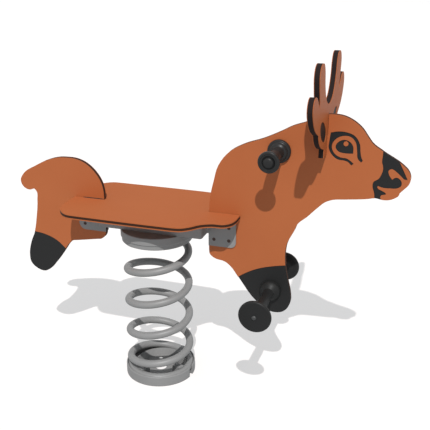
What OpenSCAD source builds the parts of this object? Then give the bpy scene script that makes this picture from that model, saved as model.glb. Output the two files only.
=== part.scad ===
// Deer spring rider: two animal-shaped boards, a seat board and an antler board,
// carried by one coil spring on a bolted base ring.
// Lengths are in millimetres. The origin is the centre of the base ring's underside,
// on the axis of the spring. +X points to the nose and +Z points up.

/* [Spring] */
// Outside diameter of the coils
spring_od = 200; // [190:1:230]
// Diameter of the spring wire
wire_d = 22; // [16:0.5:24]
// Rise of one open coil
coil_pitch_h = 100; // [85:1:115]
// Amount by which the top coil is drawn in to enter the cup
coil_draw = 3; // [1:0.5:5]
// Air left where a closed end of the wire meets the next coil
wire_air = 2; // [1.5:0.5:6]

/* [Base ring] */
// Thickness of the base ring under the wire
ring_t = 11; // [9:0.5:16]
// Thickness of the plate inside the base ring
base_plate_t = 4; // [3:0.5:6]
// Height of the outer rim round the lowest coil
rim_h = 30; // [24:0.5:32]
// Height of the inner rim inside the lowest coil
inner_rim_h = 24; // [18:0.5:28]
// Width of the inner rim at its foot
inner_rim_w = 11; // [8:0.5:12]
// Width of the rim outside the coils
ring_margin = 4; // [2:0.5:15]
// Diameter of the anchor holes
anchor_d = 14; // [10:0.5:16]
// Distance from the inside of the coils to an anchor hole's centre
anchor_inset = 26; // [22:0.5:30]
// Wall between an anchor hole's centre and the middle opening
anchor_wall = 35; // [28:0.5:38]
// Depth of the drain notch in the rim
notch_d = 10; // [4:0.5:16]
// Width of the drain notch
notch_w = 18; // [8:0.5:30]

/* [Wire clamps] */
// Width of a clamp along the wire
claw_w = 18; // [12:0.5:20]
// Length of a clamp inside the coils
claw_l = 21; // [18:0.5:24]
// Height of a clamp above the crown of the wire
claw_rise = 4; // [3:0.5:4.5]
// Reach of a clamp's lip over the wire
claw_reach = 9; // [5:0.5:10]
// Diameter of the clamp screws
claw_screw_d = 8; // [6:0.5:9]

/* [Spring cup] */
// Thickness of the cup's top plate
cup_t = 6; // [4:0.5:10]
// Thickness of the cup's wall near its lip
cup_wall = 3; // [2:0.5:5]
// Step of the wall below the top plate
cup_step = 3; // [1:0.5:5]
// Height of the cup's wall below its top face
cup_h = 36; // [30:0.5:36]
// Height of the thicker part of the wall
cup_band = 24; // [14:0.5:26]
// Diameter of the cup bolts
cup_bolt_d = 10; // [8:0.5:11]

/* [Brackets] */
// Height of the bracket channels
bracket_h = 50; // [40:1:70]
// Distance of a channel's outer face from the middle plane
bracket_y = 60; // [56:1:68]
// Thickness of the bent steel
plate_t = 4; // [3:0.5:5]
// Inside radius of the bends
bend_r = 3; // [1:0.5:5]
// Width of the channel flanges
flange_w = 34; // [31:1:40]
// Length of the front tabs along the front board
front_tab_l = 79; // [74:1:90]
// Length of the rear tabs along the rear board
rear_tab_l = 84; // [78:1:88]
// Height of the tabs
tab_h = 86; // [77:1:90]
// Radius of the front tabs' lower corner
front_tab_r = 15; // [2:1:20]
// Radius of the rear tabs' lower corner
rear_tab_r = 20; // [10:1:36]

/* [Boards] */
// Thickness of the boards
board_t = 13; // [10:0.5:18]
// Thickness of the coloured facing on each side of the black core
facing_t = 1.5; // [1:0.1:3.5]
// Distance of the side boards' inner edges from the spring axis
panel_x = 159; // [156:1:170]

/* [Front board] */
// Length of the front board from the seat to the nose
front_l = 527; // [500:1:560]
// Height of the front board from the hoof to the top of the head
front_h = 573; // [545:1:600]
// Depth of the front hoof below the seat's top
front_drop = 279; // [260:1:290]

/* [Rear board] */
// Length of the rear board from the seat to the tail
rear_l = 275; // [250:1:310]
// Height of the rear board from the hoof to the rump
rear_h = 372; // [350:1:400]
// Depth of the rear hoof below the seat's top
rear_drop = 258; // [245:1:270]

/* [Seat] */
// Length of the seat board
seat_l = 501; // [480:1:520]
// Width of the seat board
seat_w = 302; // [260:1:340]
// Distance of the seat's rear end from the spring axis
seat_back = 252; // [240:1:262]

/* [Antlers] */
// Width across the outer tines
antler_w = 432; // [400:1:480]
// Height of the antler board
antler_h = 243; // [225:1:260]
// Depth of the antler board below the top of the head
antler_drop = 103; // [90:1:110]
// Thickness of the antler board
antler_t = 15; // [13:0.5:18]

/* [Eye] */
// Length of the eye
eye_l = 88; // [70:1:95]
// Height of the eye
eye_h = 86; // [70:1:95]

/* [Handles] */
// Length of a handle grip
grip_l = 115.5; // [100:0.5:135]
// Diameter of the grip's inner flange
grip_flange_d = 62.5; // [58:0.5:70]
// Diameter of the threaded rod between the grips
grip_rod_d = 12; // [8:0.5:13]
// Diameter of the end caps
grip_cap_d = 26; // [25:0.5:27]

/* [Footrests] */
// Length of a footrest
foot_l = 168; // [140:0.5:190]
// Diameter of the footrest disc
foot_d = 89; // [80:0.5:100]
// Diameter of the rod between the footrests
foot_rod_d = 16; // [12:0.5:18]

/* [Fasteners] */
// Diameter of the board screws' shanks
screw_d = 6; // [5:0.5:7]
// Diameter of the countersunk heads
screw_head_d = 10; // [9.5:0.5:12]
// Outside diameter of the sleeve nuts
sleeve_d = 8; // [7.8:0.1:9]
// Diameter of the seat screws
seat_screw_d = 6; // [4:0.5:8]
// Length of thread that a seat screw has in the seat
seat_screw_bite = 9; // [5:0.5:9.5]

/* [Fits] */
// Clearance on the radius of a bolt or rod in its hole
hole_fit = 0.2; // [0.1:0.05:0.5]
// Clearance on each side of a board in its slot and of a clamp in its pocket
slot_fit = 0.7; // [0.2:0.05:1]
// Clearance on each side of a side board in the seat's slot
seat_slot_fit = 1.4; // [0.5:0.1:2]
// Gap between the wire and the plates that it bears on
wire_fit = 0.3; // [0.2:0.1:0.5]
// Gap between the wire and the hollow of a clamp
claw_fit = 0.8; // [0.7:0.1:1.2]

/* [Hidden] */

$fn = 72;
// Extra length of every cutting shape past the face that it cuts
overrun = board_t / 10;
// Depth of the pockets that lay the black core bare
mill_d = facing_t * 1.04;
// Straight steps that draw one span of a curved outline
outline_steps = 4;

board_colour = [0.72, 0.41, 0.26];
steel_colour = [0.56, 0.57, 0.59];
plastic_colour = [0.12, 0.12, 0.12];
screw_colour = [0.25, 0.25, 0.27];

// Coil: angles in degrees round the axis, with the first coil over +X at 0
coil_r = (spring_od - wire_d) / 2;
coil_rate = coil_pitch_h / 360;
// The coil leaves the ring, widens to its full pitch, settles under the cup and is drawn in
leave_angles = [33, 113];
widen_angles = [312, 420];
settle_angles = [1475, 1895];
draw_angles = [1440, 1600];
// Part of the full pitch that the first coil has
leave_share = 0.774;
// The wire's ends lie one turn before and after the place where the coil is a wire away
wire_rise = wire_d + wire_air;
coil_first = middle(leave_angles) + wire_rise / (coil_rate * leave_share) - 360;
settle_span = settle_angles[1] - settle_angles[0];
coil_last = settle_angles[1] - sqrt(2 * settle_span * wire_rise / coil_rate) + 360;
rings_per_turn = 24;
wire_sides = 12;
coil_steps = ceil((coil_last - coil_first) * rings_per_turn / 360);
coil_low = ring_t + wire_fit + wire_d / 2;
coil_climb = coil_lift(settle_angles[1]);
top_coil_r = coil_r - coil_draw;

// Heights of the levels above the spring
cup_top = coil_low + coil_climb + wire_d / 2 + wire_fit + cup_t;
cup_under = cup_top - cup_t;
seat_under = cup_top + bracket_h;
seat_top = seat_under + board_t;
front_low = seat_top - front_drop;
rear_low = seat_top - rear_drop;
head_top = front_low + front_h;
antler_low = head_top - antler_drop;

// Base ring
ring_r = spring_od / 2 + ring_margin;
anchor_r = coil_r - wire_d / 2 - anchor_inset;
ring_hole_r = anchor_r - anchor_wall;
anchor_angles = [23, 113, 203, 293];
notch_angle = -7;
rim_edge = ring_margin * 0.75;
rim_in_r = coil_r + wire_d / 2 + wire_fit;
inner_rim_r = coil_r - wire_d / 2 - claw_fit - wire_fit;
seat_ring_r = inner_rim_r - inner_rim_w / 2;
// Pads that carry the clamps
pad_r = coil_r - wire_d / 2 - claw_l - overrun;
pad_w = claw_w + 2 * (slot_fit + overrun);
pad_top = ring_t - wire_fit;

// Clamps: angles along the closed end coils
base_claw_angles = [-112, -22, 45];
cup_claw_angles = [1860, 1905, 1960];
claw_h = wire_d + claw_rise;
claw_edge = claw_rise;
claw_screw_inset = claw_l * 3 / 7;
claw_head_r = claw_screw_d * 0.75;
claw_head_h = claw_screw_d * 0.6;
// Part of a plate's thickness that a clamp screw fills
thread_share = 0.9;

// Spring cup
cup_inner_r = top_coil_r + wire_d / 2 + coil_draw / 3;
cup_lip_r = cup_inner_r + cup_wall;
cup_r = cup_lip_r + cup_step;
cup_bolt_angles = [40, 140, 220, 320];
cup_head_r = cup_bolt_d * 0.92;
cup_head_h = cup_bolt_d * 0.65;
cup_nut_h = cup_bolt_d * 0.8;
cup_bolt_end = cup_nut_h * 0.3;
cup_bolt_r = top_coil_r - wire_d / 2 - cup_head_r - coil_draw / 3;

// Brackets
web_x = panel_x - plate_t;
tab_y = board_t / 2 + plate_t;
front_tab_x = panel_x + front_tab_l;
rear_tab_x = panel_x + rear_tab_l;
tab_low = seat_under - tab_h;

// Boards: places of the screws, handles and footrests
front_screw_x_shares = [0.2, 0.745];
front_screw_z_shares = [0.328, 0.767];
front_screw_places = [
  for (u = front_screw_x_shares) for (v = front_screw_z_shares)
    [panel_x + u * front_tab_l, seat_under - v * tab_h]
];
rear_screw_shares = [[0.225, 0.372], [0.781, 0.781]];
rear_screw_places = [
  for (p = rear_screw_shares)
    [-panel_x - p[0] * rear_tab_l, seat_under - p[1] * tab_h]
];
grip_place_shares = [0.366, 0.816];
foot_place_shares = [0.34, 0.115];
grip_x = panel_x + front_l * grip_place_shares[0];
grip_z = front_low + front_h * grip_place_shares[1];
foot_x = panel_x + front_l * foot_place_shares[0];
foot_z = front_low + front_h * foot_place_shares[1];
antler_x_share = 0.5844;
antler_x = panel_x + front_l * antler_x_share;
lap_z = (antler_low + head_top) / 2;

// Front board's outline, as shares of its length and height from its lower inner corner.
// A third value of 1 marks a sharp corner.
front_shares = [
  [0, 0.29, 1], [0, 0.485, 1], [0.01, 0.58], [0.025, 0.64], [0.05, 0.72], [0.113, 0.795], [0.18, 0.832],
  [0.284, 0.868], [0.369, 0.906], [0.429, 0.936], [0.489, 0.956], [0.59, 0.998], [0.63, 1],
  [0.673, 0.995], [0.718, 0.977], [0.76, 0.947], [0.793, 0.907], [0.813, 0.884], [0.861, 0.854],
  [0.963, 0.797], [0.99, 0.772], [1, 0.747], [0.996, 0.72], [0.971, 0.689], [0.956, 0.674, 1],
  [0.951, 0.66], [0.936, 0.648], [0.907, 0.636], [0.875, 0.634], [0.84, 0.638], [0.81, 0.632],
  [0.7, 0.618], [0.64, 0.61], [0.607, 0.597], [0.569, 0.565], [0.517, 0.514], [0.47, 0.472],
  [0.457, 0.441], [0.419, 0.363], [0.413, 0.318], [0.417, 0.25], [0.433, 0.176], [0.448, 0.112],
  [0.45, 0.075], [0.43, 0.026], [0.403, 0.006], [0.376, 0], [0.334, 0.003], [0.268, 0.043],
  [0.163, 0.163], [0.121, 0.214], [0.094, 0.233], [0.024, 0.25], [0.004, 0.267]
];
// Upper edge of the black front hoof
front_hoof_shares = [
  [0.1, 0.1], [0.163, 0.163], [0.215, 0.196], [0.266, 0.22], [0.347, 0.244], [0.42, 0.258],
  [0.6, 0.27, 1], [0.6, -0.1, 1], [0.1, -0.1, 1]
];
// Black nose, nostril curl and mouth
nose_shares = [
  [0.863, 0.857, 1], [0.91, 0.85, 1], [0.941, 0.815, 1], [0.96, 0.782], [0.977, 0.752],
  [0.986, 0.735, 1], [0.97, 0.736, 1], [0.957, 0.747], [0.937, 0.763], [0.905, 0.777],
  [0.896, 0.771], [0.899, 0.752], [0.915, 0.731, 1],
  [0.932, 0.742], [0.947, 0.738], [0.96, 0.721], [0.958, 0.705], [0.945, 0.695], [0.907, 0.69],
  [0.873, 0.69], [0.85, 0.696, 1], [0.85, 0.688], [0.869, 0.677], [0.888, 0.668], [0.892, 0.663],
  [0.882, 0.658], [0.869, 0.653], [0.867, 0.647], [0.873, 0.63, 1], [0.84, 0.625, 1],
  [0.837, 0.658], [0.826, 0.696], [0.829, 0.712], [0.852, 0.729], [0.863, 0.749], [0.869, 0.773],
  [0.867, 0.789], [0.862, 0.803], [0.863, 0.834]
];

// Rear board's outline, as shares of its length and height from its lower inner corner
rear_shares = [
  [0.004, 0.438, 1], [0.004, 0.7, 1], [0.009, 0.765], [0.025, 0.815], [0.1, 0.906], [0.163, 0.949],
  [0.235, 0.98], [0.315, 0.997], [0.43, 1], [0.505, 0.996], [0.656, 0.964], [0.76, 0.927], [0.837, 0.895],
  [0.885, 0.877], [0.96, 0.83], [0.996, 0.777], [0.975, 0.731], [0.902, 0.704],
  [0.838, 0.718, 1], [0.811, 0.696], [0.811, 0.627], [0.84, 0.475], [0.88, 0.347], [0.942, 0.242],
  [0.975, 0.129], [0.965, 0.066], [0.888, 0.014], [0.8, 0], [0.73, 0.024], [0.655, 0.084],
  [0.526, 0.209], [0.466, 0.274], [0.43, 0.3], [0.404, 0.3125], [0.37, 0.317], [0.11, 0.3524],
  [0.065, 0.3585], [0.026, 0.38], [0.008, 0.402], [0.003, 0.42]
];
// Upper edge of the black rear hoof
rear_hoof_shares = [
  [0.4, 0.16], [0.505, 0.231], [0.605, 0.293], [0.74, 0.333], [0.88, 0.347], [0.98, 0.348],
  [1.2, 0.348, 1], [1.2, -0.2, 1], [0.4, -0.2, 1]
];

// Half of the seat's outline, as shares of its length and half width from the middle of its rear end
seat_shares = [
  [0, 0.25], [0.004, 0.6], [0.01, 0.7], [0.032, 0.82], [0.0915, 0.98], [0.147, 0.998], [0.216, 1],
  [0.647, 1], [0.706, 0.995], [0.755, 0.968], [0.794, 0.875], [0.841, 0.69], [0.892, 0.595],
  [0.956, 0.565], [0.988, 0.45], [0.999, 0.3], [1, 0.12]
];

// Half of the antler board's outline, as shares of its half width and height from the middle of its foot
antler_shares = [
  [0, 0.53], [0.112, 0.547], [0.223, 0.6], [0.3, 0.68], [0.353, 0.778], [0.393, 0.914], [0.446, 0.979],
  [0.54, 1], [0.634, 0.975], [0.685, 0.905], [0.665, 0.77], [0.623, 0.64], [0.618, 0.58, 1],
  [0.7, 0.646], [0.768, 0.7], [0.848, 0.732], [0.946, 0.712], [0.997, 0.638], [0.955, 0.523],
  [0.83, 0.412], [0.65, 0.33, 1], [0.61, 0.318, 1], [0.58, 0.262], [0.49, 0.188], [0.4, 0.145],
  [0.27, 0.105, 1], [0.22, 0.095, 1], [0.22, 0, 1]
];
// Black hollow of the ear: its centre, its half axes and its slant
ear_place_shares = [0.338, 0.296];
ear_size_shares = [0.217, 0.1];
ear_slant = 30;

// Eye, as shares of its length and height from its lower rear corner
eye_place_shares = [0.605, 0.778];
lid_shares = [
  [0.045, 0.94, 1], [0.25, 0.99], [0.48, 0.985], [0.73, 0.895], [0.885, 0.665], [0.92, 0.42],
  [0.955, 0.265], [1, 0.175, 1], [0.955, 0.115, 1], [0.865, 0.2], [0.82, 0.45], [0.76, 0.71],
  [0.615, 0.85], [0.445, 0.87], [0.24, 0.79], [0.125, 0.65], [0.1, 0.5], [0.195, 0.315],
  [0.365, 0.22], [0.545, 0.2], [0.65, 0.14], [0.75, 0.06, 1], [0.68, 0, 1], [0.58, 0.095],
  [0.49, 0.125], [0.275, 0.15], [0.1, 0.29], [0.01, 0.465], [0.02, 0.71]
];
pupil_shares = [
  [0.205, 0.51], [0.275, 0.675], [0.445, 0.755], [0.6, 0.71], [0.695, 0.595], [0.715, 0.36, 1],
  [0.5, 0.35], [0.285, 0.395]
];
glint_place_shares = [0.495, 0.64];
glint_r_share = 0.07;

// Profiles of the turned plastic parts, as shares of their largest radius and their length
grip_shares = [
  [1, 0, 1], [1, 0.045], [0.945, 0.075], [0.8, 0.09], [0.77, 0.112], [0.7, 0.14], [0.545, 0.172],
  [0.495, 0.225], [0.495, 0.43], [0.505, 0.64], [0.495, 0.83], [0.54, 0.875], [0.7, 0.892],
  [0.845, 0.91], [0.9, 0.94], [0.895, 0.97], [0.83, 0.994], [0.7, 1, 1], [0.685, 0.985, 1],
  [0.5, 0.985, 1], [0.485, 1, 1]
];
foot_shares = [
  [0.67, 0, 1], [0.67, 0.024], [0.65, 0.055], [0.56, 0.09], [0.425, 0.122], [0.35, 0.14],
  [0.335, 0.17], [0.335, 0.45], [0.335, 0.72], [0.36, 0.845], [0.45, 0.893], [0.67, 0.914],
  [0.895, 0.924], [0.98, 0.938], [1, 0.957], [0.985, 0.979], [0.94, 0.99], [0.8, 0.996],
  [0.4, 1.004], [0.135, 1.006, 1], [0.11, 1.018], [0.065, 1.026], [0, 1.028, 1]
];
foot_bore_share = 0.9;
rod_reach_share = 0.98;

// Handle ends: the recess holds a nut under the cap
grip_cap_r = grip_cap_d / 2;
grip_recess = grip_l * 0.12;
grip_floor = grip_l - grip_recess;
grip_nut_r = grip_cap_r * 0.8;
grip_nut_h = grip_recess * 0.55;
grip_cap_wall = grip_cap_r * 0.12;
grip_cap_dome = grip_cap_r * 0.38;
grip_rod_end = grip_floor + grip_recess * 0.65;

// Countersunk heads and sleeve nuts
head_depth = (screw_head_d - screw_d) / 2;
sleeve_depth = (screw_head_d - sleeve_d) / 2;
socket_r = screw_d / 3;
socket_depth = plate_t * 0.6;
sleeve_reach = board_t * 0.75;
screw_reach = board_t * 0.95;

// Seat screws
seat_screw_xs = [-0.77, 0, 0.77] * web_x;
seat_screw_y = bracket_y - flange_w * 0.45;
seat_head_r = seat_screw_d;
seat_head_h = seat_screw_d * 0.6;

// Outlines

function unit(v) = v / norm(v);

// Direction of the circle through three points, at the middle one
function turn_at(a, b, c) = unit(unit(b - a) * norm(c - b) + unit(c - b) * norm(b - a));

function flat(p) = [p[0], p[1]];

function is_corner(p) = p[2] == 1;

// Point on the curve from b to c that leaves along u and arrives along v
function curve_point(b, u, c, v, t) =
  let (l = norm(c - b))
  b * (2 * t ^ 3 - 3 * t ^ 2 + 1) + u * l * (t ^ 3 - 2 * t ^ 2 + t)
  + c * (3 * t ^ 2 - 2 * t ^ 3) + v * l * (t ^ 3 - t ^ 2);

// Points of the span that starts at the i-th point of a closed outline
function outline_span(points, i) =
  let (
    n = len(points),
    p = points[i],
    q = points[(i + 1) % n],
    a = flat(points[(i + n - 1) % n]),
    b = flat(p),
    c = flat(q),
    d = flat(points[(i + 2) % n]),
    leave = is_corner(p) ? unit(c - b) : turn_at(a, b, c),
    arrive = is_corner(q) ? unit(c - b) : turn_at(b, c, d),
    steps = is_corner(p) && is_corner(q) ? 1 : outline_steps
  )
  [for (s = [0:steps - 1]) curve_point(b, leave, c, arrive, s / steps)];

function smooth_outline(points) = [for (i = [0:len(points) - 1]) each outline_span(points, i)];

// Shares turned into places from a corner
function placed(shares, corner, size) =
  [for (p = shares) [corner[0] + p[0] * size[0], corner[1] + p[1] * size[1], p[2]]];

// Second half of an outline that is the mirror image of the first across its second axis
function mirrored(points, across) =
  [for (i = [len(points) - 1:-1:0]) [for (k = [0:2]) k == across ? -points[i][k] : points[i][k]]];

// Rounded corner: points on an arc from one heading to another
function bend(centre, r, from, to) =
  [
    for (s = [0:outline_steps])
      let (a = from + (to - from) * s / outline_steps)
      centre + r * [cos(a), sin(a)]
  ];

front_outline = placed(front_shares, [panel_x, front_low], [front_l, front_h]);
front_hoof = placed(front_hoof_shares, [panel_x, front_low], [front_l, front_h]);
nose = placed(nose_shares, [panel_x, front_low], [front_l, front_h]);
rear_outline = placed(rear_shares, [-panel_x, rear_low], [-rear_l, rear_h]);
rear_hoof = placed(rear_hoof_shares, [-panel_x, rear_low], [-rear_l, rear_h]);
seat_half = placed(seat_shares, [-seat_back, 0], [seat_l, seat_w / 2]);
seat_outline = concat(seat_half, mirrored(seat_half, 1));
antler_half = placed(antler_shares, [0, antler_low], [antler_w / 2, antler_h]);
antler_far = [for (p = mirrored(antler_half, 0)) if (p[0] < 0) p];
antler_outline = concat(antler_half, antler_far);
eye_corner = [panel_x + front_l * eye_place_shares[0], front_low + front_h * eye_place_shares[1]];
lid = placed(lid_shares, eye_corner, [eye_l, eye_h]);
pupil = placed(pupil_shares, eye_corner, [eye_l, eye_h]);

// Board in the plane of X and Z, centred on Y
module upright(thickness) {
  rotate([90, 0, 0])
    linear_extrude(thickness, center = true)
      children();
}

// Board in the plane of Y and Z, centred on X
module crosswise(thickness) {
  rotate([90, 0, 90])
    linear_extrude(thickness, center = true)
      children();
}

// Shallow pocket in both faces of an upright board
module milled() {
  for (side = [-1, 1])
    translate([0, side * (board_t - mill_d + overrun) / 2, 0])
      upright(mill_d + overrun)
        children();
}

// Cylinder along Y through a place on an upright board
module cross_hole(place, r, length) {
  translate([place[0], 0, place[1]])
    rotate([90, 0, 0])
      cylinder(h = length, r = r, center = true);
}

// Turned part that stands out of the board's right face at a place, or out of a pocket there
module outward(place, depth = 0) {
  translate([place[0], depth - board_t / 2, place[1]])
    rotate([90, 0, 0])
      children();
}

module mirror_left() {
  mirror([0, 1, 0])
    children();
}

// Spring

function smooth_step(t) = let (s = min(1, max(0, t))) s * s * (3 - 2 * s);

function middle(span) = (span[0] + span[1]) / 2;

// Curve that is level before a span, bends through it and climbs one for one after it
function ramp(a, span) =
  a < span[0] ? 0
  : a < span[1] ? (a - span[0]) ^ 2 / (2 * (span[1] - span[0]))
  : a - middle(span);

function coil_lift(a) =
  coil_rate * (
    leave_share * ramp(a, leave_angles) + (1 - leave_share) * ramp(a, widen_angles) - ramp(a, settle_angles)
  );

function coil_radius(a) =
  coil_r - coil_draw * smooth_step((a - draw_angles[0]) / (draw_angles[1] - draw_angles[0]));

function coil_point(a) = [coil_radius(a) * cos(a), coil_radius(a) * sin(a), coil_low + coil_lift(a)];

coil_angles = [for (i = [0:coil_steps]) coil_first + (coil_last - coil_first) * i / coil_steps];
coil_path = [for (a = coil_angles) coil_point(a)];

// Ring of points round the wire, square to its path
function wire_ring(a) =
  let (
    ahead = unit(coil_point(a + 1) - coil_point(a - 1)),
    radial = [cos(a), sin(a), 0],
    across = unit(radial - ahead * (radial * ahead)),
    up = cross(ahead, across)
  )
  [
    for (k = [0:wire_sides - 1])
      coil_point(a) + wire_d / 2 * (across * cos(360 * k / wire_sides) + up * sin(360 * k / wire_sides))
  ];

// Least distance between two turns of the wire
function wire_least_gap() =
  min([
    for (i = [0:coil_steps])
      for (j = [i + rings_per_turn / 2:1:min(coil_steps, i + rings_per_turn * 2)])
        norm(coil_path[i] - coil_path[j])
  ]) - wire_d;

echo("least gap between turns of the spring", wire_least_gap());

module spring() {
  points = [for (a = coil_angles) each wire_ring(a)];
  n = wire_sides;
  last = coil_steps * n;
  sides = [
    for (i = [0:coil_steps - 1])
      for (k = [0:n - 1])
        let (here = i * n + k, next = i * n + (k + 1) % n)
        each [[here, here + n, next], [next, here + n, next + n]]
  ];
  first_end = [for (k = [1:n - 2]) [0, k, k + 1]];
  last_end = [for (k = [1:n - 2]) [last, last + k + 1, last + k]];
  color(steel_colour)
    polyhedron(points, concat(sides, first_end, last_end));
}

// Base ring and clamps

// Sloping rim inside the lowest coil, open where the clamps stand
module inner_rim() {
  low = base_plate_t / 2;
  difference() {
    rotate_extrude()
      polygon([
        [inner_rim_r - inner_rim_w, low], [inner_rim_r, low], [inner_rim_r, inner_rim_h],
        [inner_rim_r - inner_rim_w / 5, inner_rim_h]
      ]);
    for (a = base_claw_angles)
      rotate(a)
        translate([0, -claw_w / 2 - slot_fit, 0])
          cube([coil_r, claw_w + 2 * slot_fit, inner_rim_h + overrun]);
  }
}

// Blocks on the plate under the clamps
module clamp_pads() {
  for (a = base_claw_angles)
    rotate(a)
      translate([pad_r, -pad_w / 2, base_plate_t / 2])
        cube([coil_r - pad_r, pad_w, pad_top - base_plate_t / 2]);
}

// Trough for the lowest coil, with a thin plate inside it
module base_ring() {
  color(steel_colour)
    difference() {
      union() {
        rotate_extrude()
          polygon(concat(
            [[ring_hole_r, 0], [ring_r, 0]],
            bend([ring_r - rim_edge, rim_h - rim_edge], rim_edge, 0, 90),
            [[rim_in_r, rim_h], [rim_in_r, ring_t], [seat_ring_r, ring_t]],
            [[seat_ring_r, base_plate_t], [ring_hole_r, base_plate_t]]
          ));
        inner_rim();
        clamp_pads();
      }
      for (a = anchor_angles)
        rotate(a)
          translate([anchor_r, 0, -overrun])
            cylinder(h = ring_t + 2 * overrun, d = anchor_d);
      for (a = base_claw_angles)
        rotate(a)
          translate([coil_r - wire_d / 2 - claw_l + claw_screw_inset, 0, -overrun])
            cylinder(h = ring_t + 2 * overrun, r = claw_screw_d / 2 + hole_fit);
      rotate(notch_angle)
        translate([ring_r - notch_d, -notch_w / 2, -overrun])
          cube([notch_d + ring_margin, notch_w, rim_h + 2 * overrun]);
    }
}

// Clamp with its foot on z = 0 and a hollow for a wire of the given coil radius and height
module claw(radius, wire_z) {
  inner = radius - wire_d / 2 - claw_l;
  outer = radius - wire_d / 2 + claw_reach;
  difference() {
    translate([0, claw_w / 2, 0])
      rotate([90, 0, 0])
        linear_extrude(claw_w)
          polygon([
            [inner, 0], [outer, 0], [outer, claw_h], [inner + claw_edge, claw_h],
            [inner, claw_h - claw_edge]
          ]);
    translate([0, 0, wire_z])
      rotate_extrude()
        translate([radius, 0])
          circle(r = wire_d / 2 + claw_fit);
    translate([radius, -claw_w / 2 - overrun, -overrun])
      mirror([1, 0, 0])
        cube([wire_d / 2 + claw_fit, claw_w + 2 * overrun, wire_z + overrun]);
    translate([inner + claw_screw_inset, 0, -overrun])
      cylinder(h = claw_h + 2 * overrun, r = claw_screw_d / 2 + hole_fit);
  }
}

// Clamp screw with its head on z = 0 and its shank below
module claw_screw(length) {
  cylinder(h = claw_head_h, r = claw_head_r, $fn = 6);
  translate([0, 0, -length])
    cylinder(h = length, d = claw_screw_d);
}

module base_clamps() {
  color(steel_colour)
    for (a = base_claw_angles)
      rotate(a)
        translate([0, 0, ring_t])
          claw(coil_r, coil_point(a)[2] - ring_t);
}

module base_clamp_screws() {
  color(screw_colour)
    for (a = base_claw_angles)
      rotate(a)
        translate([coil_r - wire_d / 2 - claw_l + claw_screw_inset, 0, ring_t + claw_h])
          claw_screw(claw_h + ring_t * thread_share);
}

// Cup and its clamps

module spring_cup() {
  color(steel_colour)
    difference() {
      rotate_extrude()
        polygon([
          [0, cup_under], [0, cup_top], [cup_r - cup_step / 2, cup_top],
          [cup_r, cup_top - cup_step / 2], [cup_r, cup_top - cup_band + cup_step],
          [cup_lip_r, cup_top - cup_band], [cup_lip_r, cup_top - cup_h + cup_wall / 2],
          [cup_lip_r - cup_wall / 2, cup_top - cup_h], [cup_inner_r, cup_top - cup_h],
          [cup_inner_r, cup_under]
        ]);
      for (a = cup_bolt_angles)
        rotate(a)
          translate([cup_bolt_r, 0, cup_under - overrun])
            cylinder(h = cup_t + 2 * overrun, r = cup_bolt_d / 2 + hole_fit);
      for (a = cup_claw_angles)
        rotate(a)
          translate([top_coil_r - wire_d / 2 - claw_l + claw_screw_inset, 0, cup_under - overrun])
            cylinder(h = cup_t + 2 * overrun, r = claw_screw_d / 2 + hole_fit);
    }
}

module cup_clamps() {
  color(steel_colour)
    for (a = cup_claw_angles)
      rotate(a)
        translate([0, 0, cup_under])
          mirror([0, 0, 1])
            claw(top_coil_r, cup_under - coil_point(a)[2]);
}

module cup_clamp_screws() {
  color(screw_colour)
    for (a = cup_claw_angles)
      rotate(a)
        translate([top_coil_r - wire_d / 2 - claw_l + claw_screw_inset, 0, cup_under - claw_h])
          mirror([0, 0, 1])
            claw_screw(claw_h + cup_t * thread_share);
}

module cup_bolts() {
  color(screw_colour)
    for (a = cup_bolt_angles)
      rotate(a)
        translate([cup_bolt_r, 0, 0]) {
          translate([0, 0, cup_under - cup_head_h])
            cylinder(h = cup_head_h, r = cup_head_r, $fn = 6);
          translate([0, 0, cup_under])
            cylinder(h = cup_t + plate_t + cup_nut_h + cup_bolt_end, d = cup_bolt_d);
        }
}

module cup_nuts() {
  color(screw_colour)
    for (a = cup_bolt_angles)
      rotate(a)
        translate([cup_bolt_r, 0, cup_top + plate_t])
          difference() {
            cylinder(h = cup_nut_h, r = cup_head_r, $fn = 6);
            translate([0, 0, -overrun])
              cylinder(h = cup_nut_h + 2 * overrun, r = cup_bolt_d / 2 + hole_fit / 2);
          }
}

// Brackets

// Plan of the bent strip on the right side: tab, end web, side web, end web, tab
module bracket_plan() {
  r = bend_r;
  big = bend_r + plate_t;
  polygon(concat(
    [[-rear_tab_x, -board_t / 2], [-rear_tab_x, -tab_y]],
    bend([-web_x - r, -tab_y - r], r, 90, 0),
    bend([-web_x + big, -bracket_y + big], big, 180, 270),
    bend([web_x - big, -bracket_y + big], big, 270, 360),
    bend([web_x + r, -tab_y - r], r, 180, 90),
    [[front_tab_x, -tab_y], [front_tab_x, -board_t / 2]],
    bend([web_x + r, -tab_y - r], big, 90, 180),
    bend([web_x - big, -bracket_y + big], r, 360, 270),
    bend([-web_x + big, -bracket_y + big], r, 270, 180),
    bend([-web_x - r, -tab_y - r], big, 0, 90)
  ));
}

// Side view of the bracket: channel between two deeper tabs
module bracket_side() {
  polygon(concat(
    [[-rear_tab_x, seat_under]],
    bend([-rear_tab_x + rear_tab_r, tab_low + rear_tab_r], rear_tab_r, 180, 270),
    [[-panel_x, tab_low], [-panel_x, cup_top], [panel_x, cup_top], [panel_x, tab_low]],
    bend([front_tab_x - front_tab_r, tab_low + front_tab_r], front_tab_r, 270, 360),
    [[front_tab_x, seat_under]]
  ));
}

module bracket_flange(low) {
  translate([-web_x + bend_r + plate_t, -bracket_y + plate_t / 2, low])
    cube([2 * (web_x - bend_r - plate_t), flange_w - plate_t / 2, plate_t]);
}

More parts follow.
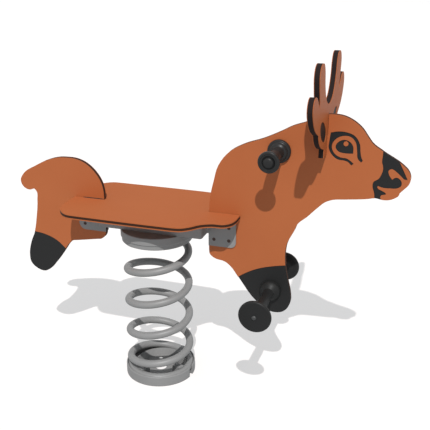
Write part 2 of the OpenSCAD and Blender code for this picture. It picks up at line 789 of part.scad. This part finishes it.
module right_bracket() {
  color(steel_colour)
    difference() {
      union() {
        intersection() {
          translate([0, 0, tab_low])
            linear_extrude(tab_h)
              bracket_plan();
          upright(2 * bracket_y + plate_t)
            bracket_side();
        }
        bracket_flange(cup_top);
        bracket_flange(seat_under - plate_t);
      }
      for (a = cup_bolt_angles)
        rotate(a)
          translate([cup_bolt_r, 0, cup_top - overrun])
            cylinder(h = plate_t + 2 * overrun, r = cup_bolt_d / 2 + hole_fit);
      for (x = seat_screw_xs)
        translate([x, -seat_screw_y, seat_under - plate_t - overrun])
          cylinder(h = plate_t + 2 * overrun, r = seat_screw_d / 2 + hole_fit);
      for (place = concat(front_screw_places, rear_screw_places))
        outward(place)
          countersink();
    }
}

module left_bracket() {
  mirror_left()
    right_bracket();
}

// Hole for a countersunk head in a tab that lies on the board
module countersink() {
  translate([0, 0, -overrun])
    cylinder(h = plate_t + 2 * overrun, r = sleeve_d / 2 + hole_fit);
  translate([0, 0, plate_t - head_depth])
    cylinder(h = head_depth, r1 = screw_d / 2 + hole_fit, r2 = screw_head_d / 2 + hole_fit);
  translate([0, 0, plate_t])
    cylinder(h = overrun, r = screw_head_d / 2 + hole_fit);
}

// Hexagonal socket in a head that is level with the tab's face
module head_socket() {
  translate([0, 0, plate_t - socket_depth])
    cylinder(h = socket_depth + overrun, r = socket_r, $fn = 6);
}

// Countersunk screw from the right face of the right tab
module panel_screw() {
  difference() {
    union() {
      translate([0, 0, plate_t - sleeve_depth])
        cylinder(h = sleeve_depth, r1 = sleeve_d / 2, r2 = screw_head_d / 2);
      translate([0, 0, -screw_reach])
        cylinder(h = screw_reach + plate_t - sleeve_depth, d = screw_d);
    }
    head_socket();
  }
}

// Sleeve nut from the left face of the left tab, drawn as if on the right
module panel_sleeve() {
  difference() {
    union() {
      translate([0, 0, plate_t - sleeve_depth])
        cylinder(h = sleeve_depth, r1 = sleeve_d / 2, r2 = screw_head_d / 2);
      translate([0, 0, -sleeve_reach])
        cylinder(h = sleeve_reach + plate_t - sleeve_depth, d = sleeve_d);
    }
    translate([0, 0, -sleeve_reach - overrun])
      cylinder(h = sleeve_reach + overrun, r = screw_d / 2 + hole_fit);
    head_socket();
  }
}

module front_panel_screws() {
  color(screw_colour)
    for (place = front_screw_places)
      outward(place)
        panel_screw();
}

module rear_panel_screws() {
  color(screw_colour)
    for (place = rear_screw_places)
      outward(place)
        panel_screw();
}

module front_panel_sleeves() {
  color(screw_colour)
    mirror_left()
      for (place = front_screw_places)
        outward(place)
          panel_sleeve();
}

module rear_panel_sleeves() {
  color(screw_colour)
    mirror_left()
      for (place = rear_screw_places)
        outward(place)
          panel_sleeve();
}

// Boards

module seat_board() {
  slot_w = board_t + 2 * seat_slot_fit;
  color(board_colour)
    difference() {
      translate([0, 0, seat_under])
        linear_extrude(board_t)
          polygon(smooth_outline(seat_outline));
      translate([panel_x - slot_fit, -slot_w / 2, seat_under - overrun])
        cube([seat_l, slot_w, board_t + 2 * overrun]);
      translate([-panel_x + slot_fit - seat_l, -slot_w / 2, seat_under - overrun])
        cube([seat_l, slot_w, board_t + 2 * overrun]);
      for (x = seat_screw_xs)
        for (side = [-1, 1])
          translate([x, side * seat_screw_y, seat_under - overrun])
            cylinder(h = seat_screw_bite + 2 * overrun, r = seat_screw_d / 2 + hole_fit);
    }
}

module seat_screws() {
  color(screw_colour)
    for (x = seat_screw_xs)
      for (side = [-1, 1])
        translate([x, side * seat_screw_y, seat_under - plate_t]) {
          translate([0, 0, -seat_head_h])
            cylinder(h = seat_head_h, r = seat_head_r);
          cylinder(h = plate_t + seat_screw_bite, d = seat_screw_d);
        }
}

module front_panel() {
  slot_w = antler_t + 2 * slot_fit;
  glint = eye_corner + [eye_l * glint_place_shares[0], eye_h * glint_place_shares[1]];
  color(board_colour)
    difference() {
      upright(board_t)
        polygon(smooth_outline(front_outline));
      milled()
        polygon(smooth_outline(front_hoof));
      milled()
        polygon(smooth_outline(nose));
      milled()
        polygon(smooth_outline(lid));
      milled()
        difference() {
          polygon(smooth_outline(pupil));
          translate(glint)
            circle(r = eye_l * glint_r_share);
        }
      translate([antler_x - slot_w / 2, -board_t / 2 - overrun, lap_z])
        cube([slot_w, board_t + 2 * overrun, antler_h]);
      for (place = front_screw_places)
        cross_hole(place, sleeve_d / 2 + hole_fit, board_t + 2 * overrun);
      cross_hole([grip_x, grip_z], grip_rod_d / 2 + hole_fit, board_t + 2 * overrun);
      cross_hole([foot_x, foot_z], foot_rod_d / 2 + hole_fit, board_t + 2 * overrun);
    }
}

module rear_panel() {
  color(board_colour)
    difference() {
      upright(board_t)
        polygon(smooth_outline(rear_outline));
      milled()
        polygon(smooth_outline(rear_hoof));
      for (place = rear_screw_places)
        cross_hole(place, sleeve_d / 2 + hole_fit, board_t + 2 * overrun);
    }
}

module antler_panel() {
  slot_w = board_t + 2 * slot_fit;
  color(board_colour)
    difference() {
      translate([antler_x, 0, 0])
        crosswise(antler_t)
          polygon(smooth_outline(antler_outline));
      translate([antler_x - antler_t / 2 - overrun, -slot_w / 2, antler_low - overrun])
        cube([antler_t + 2 * overrun, slot_w, lap_z - antler_low + overrun]);
      for (side = [-1, 1])
        translate([antler_x + (antler_t - mill_d + overrun) / 2, 0, 0])
          crosswise(mill_d + overrun)
            polygon(ear_points(side));
    }
}

// Slanted ellipse of the ear's hollow
function ear_points(side) =
  let (
    centre = [antler_w / 2 * ear_place_shares[0], antler_low + antler_h * ear_place_shares[1]],
    half = ear_size_shares * antler_w / 2
  )
  [
    for (k = [0:rings_per_turn - 1])
      let (a = side * 360 * k / rings_per_turn, u = half[0] * cos(a), v = half[1] * sin(a))
      [
        side * (centre[0] + u * cos(ear_slant) - v * sin(ear_slant)),
        centre[1] + u * sin(ear_slant) + v * cos(ear_slant)
      ]
  ];

// Handles

module right_grip() {
  r = grip_flange_d / 2;
  recess_r = grip_cap_r + hole_fit;
  bore_r = grip_rod_d / 2 + hole_fit;
  body = smooth_outline(placed(grip_shares, [0, 0], [r, grip_l]));
  color(plastic_colour)
    outward([grip_x, grip_z])
      rotate_extrude()
        polygon(concat(
          [for (p = body) if (p[0] > recess_r) p],
          [[recess_r, grip_l], [recess_r, grip_floor], [bore_r, grip_floor], [bore_r, 0]]
        ));
}

module left_grip() {
  mirror_left()
    right_grip();
}

module grip_rod() {
  color(screw_colour)
    cross_hole([grip_x, grip_z], grip_rod_d / 2, board_t + 2 * grip_rod_end);
}

module grip_nut() {
  outward([grip_x, grip_z])
    translate([0, 0, grip_floor])
      difference() {
        cylinder(h = grip_nut_h, r = grip_nut_r, $fn = 6);
        translate([0, 0, -overrun])
          cylinder(h = grip_nut_h + 2 * overrun, r = grip_rod_d / 2 + hole_fit / 2);
      }
}

module grip_nuts() {
  color(screw_colour) {
    grip_nut();
    mirror_left()
      grip_nut();
  }
}

module right_grip_cap() {
  r = grip_cap_r;
  inner = grip_cap_r - grip_cap_wall;
  dome = [for (s = [0:outline_steps]) 90 * s / outline_steps];
  color(plastic_colour)
    outward([grip_x, grip_z])
      rotate_extrude()
        polygon(concat(
          [[inner, grip_floor], [r, grip_floor]],
          [for (a = dome) [r * cos(a), grip_l + grip_cap_dome * sin(a)]],
          [[0, grip_l], [inner, grip_l]]
        ));
}

module left_grip_cap() {
  mirror_left()
    right_grip_cap();
}

// Footrests

module right_footrest() {
  r = foot_d / 2;
  bore_r = foot_rod_d / 2 + hole_fit;
  floor_s = foot_l * foot_bore_share;
  color(plastic_colour)
    outward([foot_x, foot_z], mill_d)
      rotate_extrude()
        polygon(concat(
          smooth_outline_open(placed(foot_shares, [0, 0], [r, foot_l])),
          [[0, floor_s], [bore_r, floor_s], [bore_r, 0]]
        ));
}

// Curve through the points without the span that would close it
function smooth_outline_open(points) =
  let (last = len(points) - 1)
  concat([for (i = [0:last - 1]) each outline_span(points, i)], [flat(points[last])]);

module left_footrest() {
  mirror_left()
    right_footrest();
}

module footrest_rod() {
  reach = foot_l * foot_bore_share * rod_reach_share - mill_d;
  color(screw_colour)
    cross_hole([foot_x, foot_z], foot_rod_d / 2, board_t + 2 * reach);
}

base_ring();
base_clamps();
base_clamp_screws();
spring();
spring_cup();
cup_clamps();
cup_clamp_screws();
cup_bolts();
cup_nuts();
left_bracket();
right_bracket();
seat_board();
seat_screws();
front_panel();
rear_panel();
antler_panel();
front_panel_screws();
front_panel_sleeves();
rear_panel_screws();
rear_panel_sleeves();
left_grip();
right_grip();
grip_rod();
grip_nuts();
left_grip_cap();
right_grip_cap();
left_footrest();
right_footrest();
footrest_rod();
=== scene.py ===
"""Looks of the deer spring rider: finishes, coil spring, dark strips of painted shade beside the rear
board, buttons, light and camera.
"""

import math

import bmesh
import bpy
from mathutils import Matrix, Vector


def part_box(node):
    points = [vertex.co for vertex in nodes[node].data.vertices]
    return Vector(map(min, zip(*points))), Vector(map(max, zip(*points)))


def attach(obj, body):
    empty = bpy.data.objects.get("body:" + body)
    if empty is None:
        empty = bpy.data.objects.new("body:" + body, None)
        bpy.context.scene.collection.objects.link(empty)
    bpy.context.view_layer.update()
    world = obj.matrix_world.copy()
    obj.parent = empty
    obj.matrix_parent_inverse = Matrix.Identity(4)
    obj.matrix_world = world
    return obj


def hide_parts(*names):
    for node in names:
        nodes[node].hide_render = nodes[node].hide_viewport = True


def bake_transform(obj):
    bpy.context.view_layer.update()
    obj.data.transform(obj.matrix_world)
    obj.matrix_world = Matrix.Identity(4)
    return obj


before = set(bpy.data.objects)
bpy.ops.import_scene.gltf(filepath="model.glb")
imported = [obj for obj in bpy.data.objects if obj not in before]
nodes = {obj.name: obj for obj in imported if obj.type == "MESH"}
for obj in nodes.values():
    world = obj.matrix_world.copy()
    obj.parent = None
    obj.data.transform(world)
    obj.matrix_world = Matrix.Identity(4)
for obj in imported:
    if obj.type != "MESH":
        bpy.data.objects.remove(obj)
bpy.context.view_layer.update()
scene = bpy.context.scene

MM = 0.001
WHITE = (1, 1, 1, 1)


# Camera at the photograph's view

CAMERA_PLACE = (0.7685, -1.7823, 1.2222)
CAMERA_YAW = 0.3217
CAMERA_PITCH = 0.3572
CAMERA_LENS = 60.86
CAMERA_SENSOR = 36


def make_camera():
    data = bpy.data.cameras.new("camera")
    data.lens = CAMERA_LENS
    data.sensor_width = CAMERA_SENSOR
    camera = bpy.data.objects.new("camera", data)
    camera.location = CAMERA_PLACE
    camera.rotation_euler = (math.pi / 2 - CAMERA_PITCH, 0, CAMERA_YAW)
    scene.collection.objects.link(camera)
    scene.camera = camera


make_camera()


# Material nodes

CLOUD_DETAIL = 4
GRAIN_DETAIL = 2
BEVEL_SAMPLES = 6


def add_node(tree, kind, inputs=None, **settings):
    """A shader node with its settings made and its inputs set or linked."""
    made = tree.nodes.new(kind)
    for key, value in settings.items():
        setattr(made, key, value)
    for key, value in (inputs or {}).items():
        if isinstance(value, bpy.types.NodeSocket):
            tree.links.new(value, made.inputs[key])
        else:
            made.inputs[key].default_value = value
    return made


def new_material(name):
    """A material with its node tree and its surface shader."""
    material = bpy.data.materials.new(name)
    material.use_nodes = True
    tree = material.node_tree
    return material, tree, tree.nodes["Principled BSDF"]


def coordinates(tree, kind):
    return add_node(tree, "ShaderNodeTexCoord").outputs[kind]


def calculate(tree, operation, *values):
    return add_node(tree, "ShaderNodeMath", dict(enumerate(values)), operation=operation).outputs[0]


def along_axis(tree, vector, axis):
    return add_node(tree, "ShaderNodeSeparateXYZ", {0: vector}).outputs[axis]


def noise(tree, place, scale, detail):
    """Grey noise of the given grains per metre."""
    made = add_node(tree, "ShaderNodeTexNoise", {"Vector": place, "Scale": scale, "Detail": detail})
    return made.outputs["Fac"]


def shift(tree, value, low, high):
    """A grey value spread from low to high."""
    made = add_node(tree, "ShaderNodeMapRange", {"Value": value, "To Min": low, "To Max": high})
    return made.outputs["Result"]


def mix_colours(tree, factor, first, second):
    made = add_node(tree, "ShaderNodeMix", {0: factor, 6: first, 7: second}, data_type="RGBA")
    return made.outputs[2]


def skin_normal(tree, grain, relief, depth, edge_radius):
    """Normals with a fine relief, and with the edges rounded off."""
    rounded = add_node(tree, "ShaderNodeBevel", {"Radius": edge_radius}, samples=BEVEL_SAMPLES)
    return add_node(tree, "ShaderNodeBump", {
        "Height": grain,
        "Strength": relief,
        "Distance": depth,
        "Normal": rounded.outputs["Normal"],
    }).outputs["Normal"]


# Colours in linear light, the darker and the lighter one of each

ORANGE = (0.386, 0.105, 0.033, 1), (0.436, 0.125, 0.041, 1)
CORE = (0.0105, 0.0104, 0.0103, 1), (0.0185, 0.0183, 0.0181, 1)
SAWN_EDGE = (0.030, 0.0105, 0.0045, 1), (0.042, 0.0155, 0.0075, 1)
ANTLER_EDGE = (0.0170, 0.0103, 0.0093, 1), (0.0230, 0.0141, 0.0127, 1)
STEEL = (0.212, 0.207, 0.203, 1), (0.272, 0.267, 0.262, 1)
PLASTIC = (0.0160, 0.0158, 0.0156, 1), (0.0230, 0.0227, 0.0225, 1)
RUBBER = (0.0135, 0.0133, 0.0131, 1), (0.0205, 0.0203, 0.0200, 1)
BUTTON = (0.030, 0.030, 0.030, 1), (0.042, 0.042, 0.042, 1)
SCREW = (0.045, 0.028, 0.024, 1), (0.100, 0.065, 0.055, 1)
# Painted shade: near black laid in the groove round the grip caps
GROOVE_PAINTED_SHADE = (0.0012, 0.0012, 0.0012, 1)

ROUGHNESS_SPREAD = 0.07


# Boards

FACING_BLUR = 0.05 * MM
BOARD_CLOUD_SCALE = 7
BOARD_GRAIN_SCALE = 420
ORANGE_SPREAD = (0.1, 0.9)
EDGE_ROUGHNESS = 0.82
BOARD_RELIEF = 0.12
BOARD_RELIEF_DEPTH = 0.15 * MM
BOARD_EDGE_R = 0.8 * MM


def board_material(name, axis, middle, core_half, roughness, specular, edge=SAWN_EDGE):
    """Orange facings on a black core, told apart by the distance from the board's middle plane.

    The sawn edge of the core is browner than the floor of the milled pockets, and rougher.
    """
    material, tree, surface = new_material(name)
    place = coordinates(tree, "Object")
    offset = calculate(tree, "SUBTRACT", along_axis(tree, place, axis), middle)
    facing = add_node(tree, "ShaderNodeMapRange", {
        "Value": calculate(tree, "ABSOLUTE", offset),
        "From Min": core_half - FACING_BLUR,
        "From Max": core_half + FACING_BLUR,
    }).outputs["Result"]
    flat = calculate(tree, "ABSOLUTE", along_axis(tree, coordinates(tree, "Normal"), axis))
    cloud = noise(tree, place, BOARD_CLOUD_SCALE, CLOUD_DETAIL)
    grain = noise(tree, place, BOARD_GRAIN_SCALE, GRAIN_DETAIL)
    orange = mix_colours(tree, shift(tree, cloud, *ORANGE_SPREAD), *ORANGE)
    milled = mix_colours(tree, grain, *CORE)
    sawn = mix_colours(tree, grain, *edge)
    core = mix_colours(tree, flat, sawn, milled)
    tree.links.new(mix_colours(tree, facing, core, orange), surface.inputs["Base Color"])
    level = shift(tree, flat, EDGE_ROUGHNESS, roughness)
    spread = shift(tree, grain, -ROUGHNESS_SPREAD, ROUGHNESS_SPREAD)
    tree.links.new(calculate(tree, "ADD", level, spread), surface.inputs["Roughness"])
    surface.inputs["Specular IOR Level"].default_value = specular
    normal = skin_normal(tree, grain, BOARD_RELIEF, BOARD_RELIEF_DEPTH, BOARD_EDGE_R)
    tree.links.new(normal, surface.inputs["Normal"])
    return material


def board_middle(node, axis):
    low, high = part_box(node)
    return (low[axis] + high[axis]) / 2


# Painted, moulded and plated parts

COAT_CLOUD_SCALE = 14
COAT_RELIEF = 0.15
COAT_RELIEF_DEPTH = 0.2 * MM
COAT_EDGE_R = 0.6 * MM
GROOVE_R = 15.6 * MM
GROOVE_HALF = 2.0 * MM
GROOVE_DEPTH = 3.5 * MM


def painted_groove_shade_mask(tree, place):
    """White in a ring round the caps, on the end faces of the grips, where the shade of the groove is
    painted dark.
    """
    low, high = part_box("right_grip")
    axis = ((low.x + high.x) / 2, 0, (low.z + high.z) / 2)
    kind = "ShaderNodeVectorMath"
    off_axis = add_node(tree, kind, {0: place, 1: axis}, operation="SUBTRACT").outputs[0]
    across = add_node(tree, kind, {0: off_axis, 1: (1, 0, 1)}, operation="MULTIPLY").outputs[0]
    radius = add_node(tree, kind, {0: across}, operation="LENGTH").outputs["Value"]
    inside = calculate(tree, "COMPARE", radius, GROOVE_R, GROOVE_HALF)
    reach = calculate(tree, "ABSOLUTE", along_axis(tree, place, 1))
    outer = calculate(tree, "GREATER_THAN", reach, -low.y - GROOVE_DEPTH)
    return calculate(tree, "MULTIPLY", inside, outer)


def coat_material(name, colours, grain_scale, roughness, specular, metallic=0.0, paints_groove_shade=False):
    """A painted, moulded or plated surface with a fine skin."""
    material, tree, surface = new_material(name)
    place = coordinates(tree, "Object")
    cloud = noise(tree, place, COAT_CLOUD_SCALE, CLOUD_DETAIL)
    grain = noise(tree, place, grain_scale, GRAIN_DETAIL)
    colour = mix_colours(tree, cloud, *colours)
    # Painted shade: the ring round the caps is darkened, as the groove would be in shade
    if paints_groove_shade:
        colour = mix_colours(tree, painted_groove_shade_mask(tree, place), colour, GROOVE_PAINTED_SHADE)
    tree.links.new(colour, surface.inputs["Base Color"])
    level = shift(tree, grain, roughness - ROUGHNESS_SPREAD, roughness + ROUGHNESS_SPREAD)
    tree.links.new(level, surface.inputs["Roughness"])
    surface.inputs["Specular IOR Level"].default_value = specular
    surface.inputs["Metallic"].default_value = metallic
    normal = skin_normal(tree, grain, COAT_RELIEF, COAT_RELIEF_DEPTH, COAT_EDGE_R)
    tree.links.new(normal, surface.inputs["Normal"])
    return material


# Finishes of the CAD nodes

upright_board = board_material(
    "upright_board", axis=1, middle=0.0, core_half=5.05 * MM, roughness=0.50, specular=0.22)
seat_finish = board_material(
    "seat_finish", axis=2, middle=board_middle("seat_board", 2), core_half=3.5 * MM,
    roughness=0.80, specular=0.20)
antler_finish = board_material(
    "antler_finish", axis=0, middle=board_middle("antler_panel", 0), core_half=6.05 * MM,
    roughness=0.50, specular=0.12, edge=ANTLER_EDGE)
steel = coat_material("steel", STEEL, grain_scale=700, roughness=0.45, specular=0.4)
# Grips with painted shade in the groove round their caps
plastic = coat_material("plastic", PLASTIC, grain_scale=900, roughness=0.35, specular=0.22, paints_groove_shade=True)
rubber = coat_material("rubber", RUBBER, grain_scale=900, roughness=0.45, specular=0.15)
button = coat_material("button", BUTTON, grain_scale=700, roughness=0.40, specular=0.5)
zinc = coat_material("zinc", SCREW, grain_scale=500, roughness=0.4, specular=0.5, metallic=0.6)

FINISHES = {
    upright_board: ["front_panel", "rear_panel"],
    seat_finish: ["seat_board"],
    antler_finish: ["antler_panel"],
    steel: [
        "base_ring", "base_clamps", "base_clamp_screws", "spring", "spring_cup", "cup_clamps",
        "left_bracket", "right_bracket",
    ],
    plastic: ["left_grip", "right_grip", "left_grip_cap", "right_grip_cap"],
    rubber: ["left_footrest", "right_footrest"],
    zinc: [
        "cup_clamp_screws", "cup_bolts", "cup_nuts", "seat_screws",
        "front_panel_screws", "front_panel_sleeves", "rear_panel_screws", "rear_panel_sleeves",
        "grip_rod", "grip_nuts", "footrest_rod",
    ],
}


def set_material(piece, material):
    piece.data.materials.clear()
    piece.data.materials.append(material)


for material, names in FINISHES.items():
    for name in names:
        set_material(nodes[name], material)


# Pieces that are made here

SHARP_ANGLE = math.radians(50)


def loft(name, rings, smooth_sides=True, smooth_ends=False):
    """Closed mesh through rings of points, with both ends filled."""
    work = bmesh.new()
    rows = [[work.verts.new(point) for point in ring] for ring in rings]
    count = len(rows[0])
    for here, there in zip(rows, rows[1:]):
        for k in range(count):
            n = (k + 1) % count
            work.faces.new((here[k], here[n], there[n], there[k]))
    ends = [work.faces.new(rows[0]), work.faces.new(rows[-1])]
    bmesh.ops.recalc_face_normals(work, faces=work.faces)
    for face in work.faces:
        face.smooth = smooth_ends if face in ends else smooth_sides
    mesh = bpy.data.meshes.new(name)
    work.to_mesh(mesh)
    work.free()
    if smooth_sides:
        mesh.set_sharp_from_angle(angle=SHARP_ANGLE)
    return mesh


def circle_steps(count):
    return [2 * math.pi * k / count for k in range(count)]


def new_piece(name, mesh, material):
    piece = bpy.data.objects.new(name, mesh)
    scene.collection.objects.link(piece)
    set_material(piece, material)
    return piece


def rider_piece(name, mesh, material):
    """A small plastic piece that moves with the deer."""
    piece = new_piece(name, mesh, material)
    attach(piece, "rider")


# Spring: one wire wound through both halves
# Angles are in degrees along the wire

WIRE_D = 22 * MM
WIRE_R = WIRE_D / 2
WIRE_GAP = 2 * MM
WIRE_RISE = WIRE_D + WIRE_GAP
COIL_R = 89 * MM
COIL_DRAW = 3 * MM
COIL_PITCH = 100 * MM
COIL_LOW = 22.3 * MM
LEAVE = (33.0, 113.0)
WIDEN = (312.0, 420.0)
SETTLE = (1475.0, 1895.0)
DRAW = (1440.0, 1600.0)
LEAVE_SHARE = 0.774
COIL_RATE = COIL_PITCH / 360
COIL_FIRST = sum(LEAVE) / 2 + WIRE_RISE / (COIL_RATE * LEAVE_SHARE) - 360
COIL_LAST = SETTLE[1] - math.sqrt(2 * (SETTLE[1] - SETTLE[0]) * WIRE_RISE / COIL_RATE) + 360
COIL_MIDDLE = 900.0
RING_STEP = 6.0
WIRE_SIDES = 28
END_ROUND = 1.6 * MM


def ramp(angle, span):
    """Curve that is level before a span, bends through it and climbs one for one after it."""
    first, last = span
    if angle < first:
        return 0.0
    if angle < last:
        return (angle - first) ** 2 / (2 * (last - first))
    return angle - (first + last) / 2


def coil_lift(angle):
    """Rise of the wire's centre above the lowest coil."""
    climb = LEAVE_SHARE * ramp(angle, LEAVE) + (1 - LEAVE_SHARE) * ramp(angle, WIDEN)
    return COIL_RATE * (climb - ramp(angle, SETTLE))


def coil_radius(angle):
    """Radius of the coil, which is drawn in smoothly towards the top."""
    share = min(1.0, max(0.0, (angle - DRAW[0]) / (DRAW[1] - DRAW[0])))
    return COIL_R - COIL_DRAW * share * share * (3 - 2 * share)


def coil_point(angle):
    turn = math.radians(angle)
    radius = coil_radius(angle)
    return Vector((radius * math.cos(turn), radius * math.sin(turn), COIL_LOW + coil_lift(angle)))


def wire_ring(angle, radius, forward=0.0):
    """Points round the wire, square to its path, moved forward along it."""
    ahead = (coil_point(angle + 1) - coil_point(angle - 1)).normalized()
    turn = math.radians(angle)
    radial = Vector((math.cos(turn), math.sin(turn), 0))
    across = (radial - ahead * radial.dot(ahead)).normalized()
    up = ahead.cross(across)
    centre = coil_point(angle) + ahead * forward
    steps = circle_steps(WIRE_SIDES)
    return [centre + (across * math.cos(t) + up * math.sin(t)) * radius for t in steps]


def wire_rings(first, last, open_end):
    """Rings along one half, with the true end of the wire slightly rounded."""
    count = round((last - first) / RING_STEP)
    rings = [wire_ring(first + (last - first) * i / count, WIRE_R) for i in range(count + 1)]
    rim = WIRE_R - END_ROUND
    shoulder = WIRE_R - END_ROUND * (1 - math.sqrt(0.5))
    reach = END_ROUND * math.sqrt(0.5)
    if open_end == "first":
        rings[0] = wire_ring(first, WIRE_R, END_ROUND)
        return [wire_ring(first, rim), wire_ring(first, shoulder, END_ROUND - reach)] + rings
    rings[-1] = wire_ring(last, WIRE_R, -END_ROUND)
    return rings + [wire_ring(last, shoulder, reach - END_ROUND), wire_ring(last, rim)]


def wire_piece(name, first, last, open_end):
    piece = new_piece(name, loft(name, wire_rings(first, last, open_end)), steel)
    return piece


def make_spring():
    lower = wire_piece("spring_lower", COIL_FIRST, COIL_MIDDLE, "first")
    upper = wire_piece("spring_upper", COIL_MIDDLE, COIL_LAST, "last")
    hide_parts("spring")
    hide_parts("spring")
    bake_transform(lower)
    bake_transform(upper)


make_spring()


# Black strips beside the rear board, where it passes through the seat: painted shade of the gap in the
# seat's slot

SHADE_STRIP_LENGTH = 68 * MM
SHADE_STRIP_WIDTH = 2.4 * MM
SHADE_STRIP_HEIGHT = 1.6 * MM
SHADE_STRIP_STEPS = 24
SHADE_STRIP_END_SHARE = 0.35
SHADE_STRIP_SWELL = 6
# Hollow-faced bead from the board's face to the seat, as shares of its width and height
SHADE_STRIP_PROFILE = [(0, 0), (1, 0), (0.55, 0.3), (0.2, 0.65), (0, 1)]


def shade_strip_ring(side, share):
    """Section of the bead at a share of its length, thinner at both ends."""
    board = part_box("rear_panel")[1]
    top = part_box("seat_board")[1].z
    swell = min(1.0, SHADE_STRIP_END_SHARE + SHADE_STRIP_SWELL * min(share, 1 - share))
    wide, tall = SHADE_STRIP_WIDTH * swell, SHADE_STRIP_HEIGHT * swell
    x = board.x - SHADE_STRIP_LENGTH * share
    return [(x, side * (board.y + wide * y), top + tall * z) for y, z in SHADE_STRIP_PROFILE]


def shade_strip_piece(name, side):
    rings = [shade_strip_ring(side, i / SHADE_STRIP_STEPS) for i in range(SHADE_STRIP_STEPS + 1)]
    rider_piece(name, loft(name, rings, smooth_sides=False), plastic)


# Painted shade: black strips stand for the shadowed gap between the rear board and the seat
shade_strip_piece("rear_slot_shade_strip_right", -1)
shade_strip_piece("rear_slot_shade_strip_left", 1)


# Domed buttons that close the footrests' outer ends

# Radius and height in millimetres
BUTTON_PROFILE = [(6.6, 0.0), (6.5, 1.2), (5.9, 2.5), (4.8, 3.6), (3.2, 4.4), (1.6, 4.8)]
BUTTON_SEAT = 3.6 * MM
BUTTON_SIDES = 32


def button_piece(name, node, side):
    """Turned cap on the middle of a footrest's disc, facing outwards."""
    low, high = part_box(node)
    middle = (low + high) / 2
    face = (high.y if side > 0 else -low.y) - BUTTON_SEAT
    rings = [
        [
            (
                middle.x + radius * MM * math.cos(t),
                side * (face + height * MM),
                middle.z + radius * MM * math.sin(t),
            )
            for t in circle_steps(BUTTON_SIDES)
        ]
        for radius, height in BUTTON_PROFILE
    ]
    rider_piece(name, loft(name, rings, smooth_ends=True), button)


button_piece("footrest_button_right", "right_footrest", -1)
button_piece("footrest_button_left", "left_footrest", 1)


# Floor, light and background

SUN_HEADING = (-0.19, 0.61, -0.77)
SUN_POWER = 3.0
SUN_ANGLE = 0.6
SKY_LEVEL = 0.42
SKY_COLOUR = (0.93, 1.02, 1.09, 1)
FLOOR_SIZE = 30.0
FLOOR_COLOUR = (0.62, 0.62, 0.62, 1)
FLOOR_SEEN = (0.54, 0.50, 0.48, 1)
FLOOR_GLOW = 0.475


def floor_material():
    """Pale floor that shows white to the camera where the sun falls on it."""
    material, tree, surface = new_material("floor")
    camera_ray = add_node(tree, "ShaderNodeLightPath").outputs["Is Camera Ray"]
    plain = add_node(tree, "ShaderNodeBsdfDiffuse", {"Color": FLOOR_COLOUR})
    seen = add_node(tree, "ShaderNodeBsdfDiffuse", {"Color": FLOOR_SEEN})
    glow = add_node(tree, "ShaderNodeEmission", {"Color": WHITE, "Strength": FLOOR_GLOW})
    lit = add_node(tree, "ShaderNodeAddShader", {0: seen.outputs[0], 1: glow.outputs[0]})
    both = add_node(tree, "ShaderNodeMixShader", {0: camera_ray, 1: plain.outputs[0], 2: lit.outputs[0]})
    tree.links.new(both.outputs[0], tree.nodes["Material Output"].inputs["Surface"])
    tree.nodes.remove(surface)
    return material


def make_floor():
    half = FLOOR_SIZE / 2
    mesh = bpy.data.meshes.new("floor")
    corners = [(-half, -half, 0), (half, -half, 0), (half, half, 0), (-half, half, 0)]
    mesh.from_pydata(corners, [], [(0, 1, 2, 3)])
    new_piece("floor", mesh, floor_material())


def make_light():
    data = bpy.data.lights.new("sun", "SUN")
    data.energy = SUN_POWER
    data.angle = math.radians(SUN_ANGLE)
    sun = bpy.data.objects.new("sun", data)
    sun.rotation_euler = Vector(SUN_HEADING).to_track_quat("-Z", "Y").to_euler()
    scene.collection.objects.link(sun)


def make_sky():
    """Even sky light, which shows as white to the camera and in reflections."""
    world = bpy.data.worlds.new("sky")
    world.use_nodes = True
    tree = world.node_tree
    tree.nodes.clear()
    path = add_node(tree, "ShaderNodeLightPath").outputs
    sharp = calculate(tree, "MAXIMUM", path["Is Camera Ray"], path["Is Glossy Ray"])
    clear = calculate(tree, "MAXIMUM", sharp, path["Is Transmission Ray"])
    light = add_node(tree, "ShaderNodeBackground", {"Color": SKY_COLOUR, "Strength": SKY_LEVEL})
    white = add_node(tree, "ShaderNodeBackground", {"Color": WHITE, "Strength": 1.0})
    both = add_node(tree, "ShaderNodeMixShader", {0: clear, 1: light.outputs[0], 2: white.outputs[0]})
    out = add_node(tree, "ShaderNodeOutputWorld")
    tree.links.new(both.outputs[0], out.inputs["Surface"])
    scene.world = world


make_floor()
make_light()
make_sky()
scene.view_settings.view_transform = "Standard"
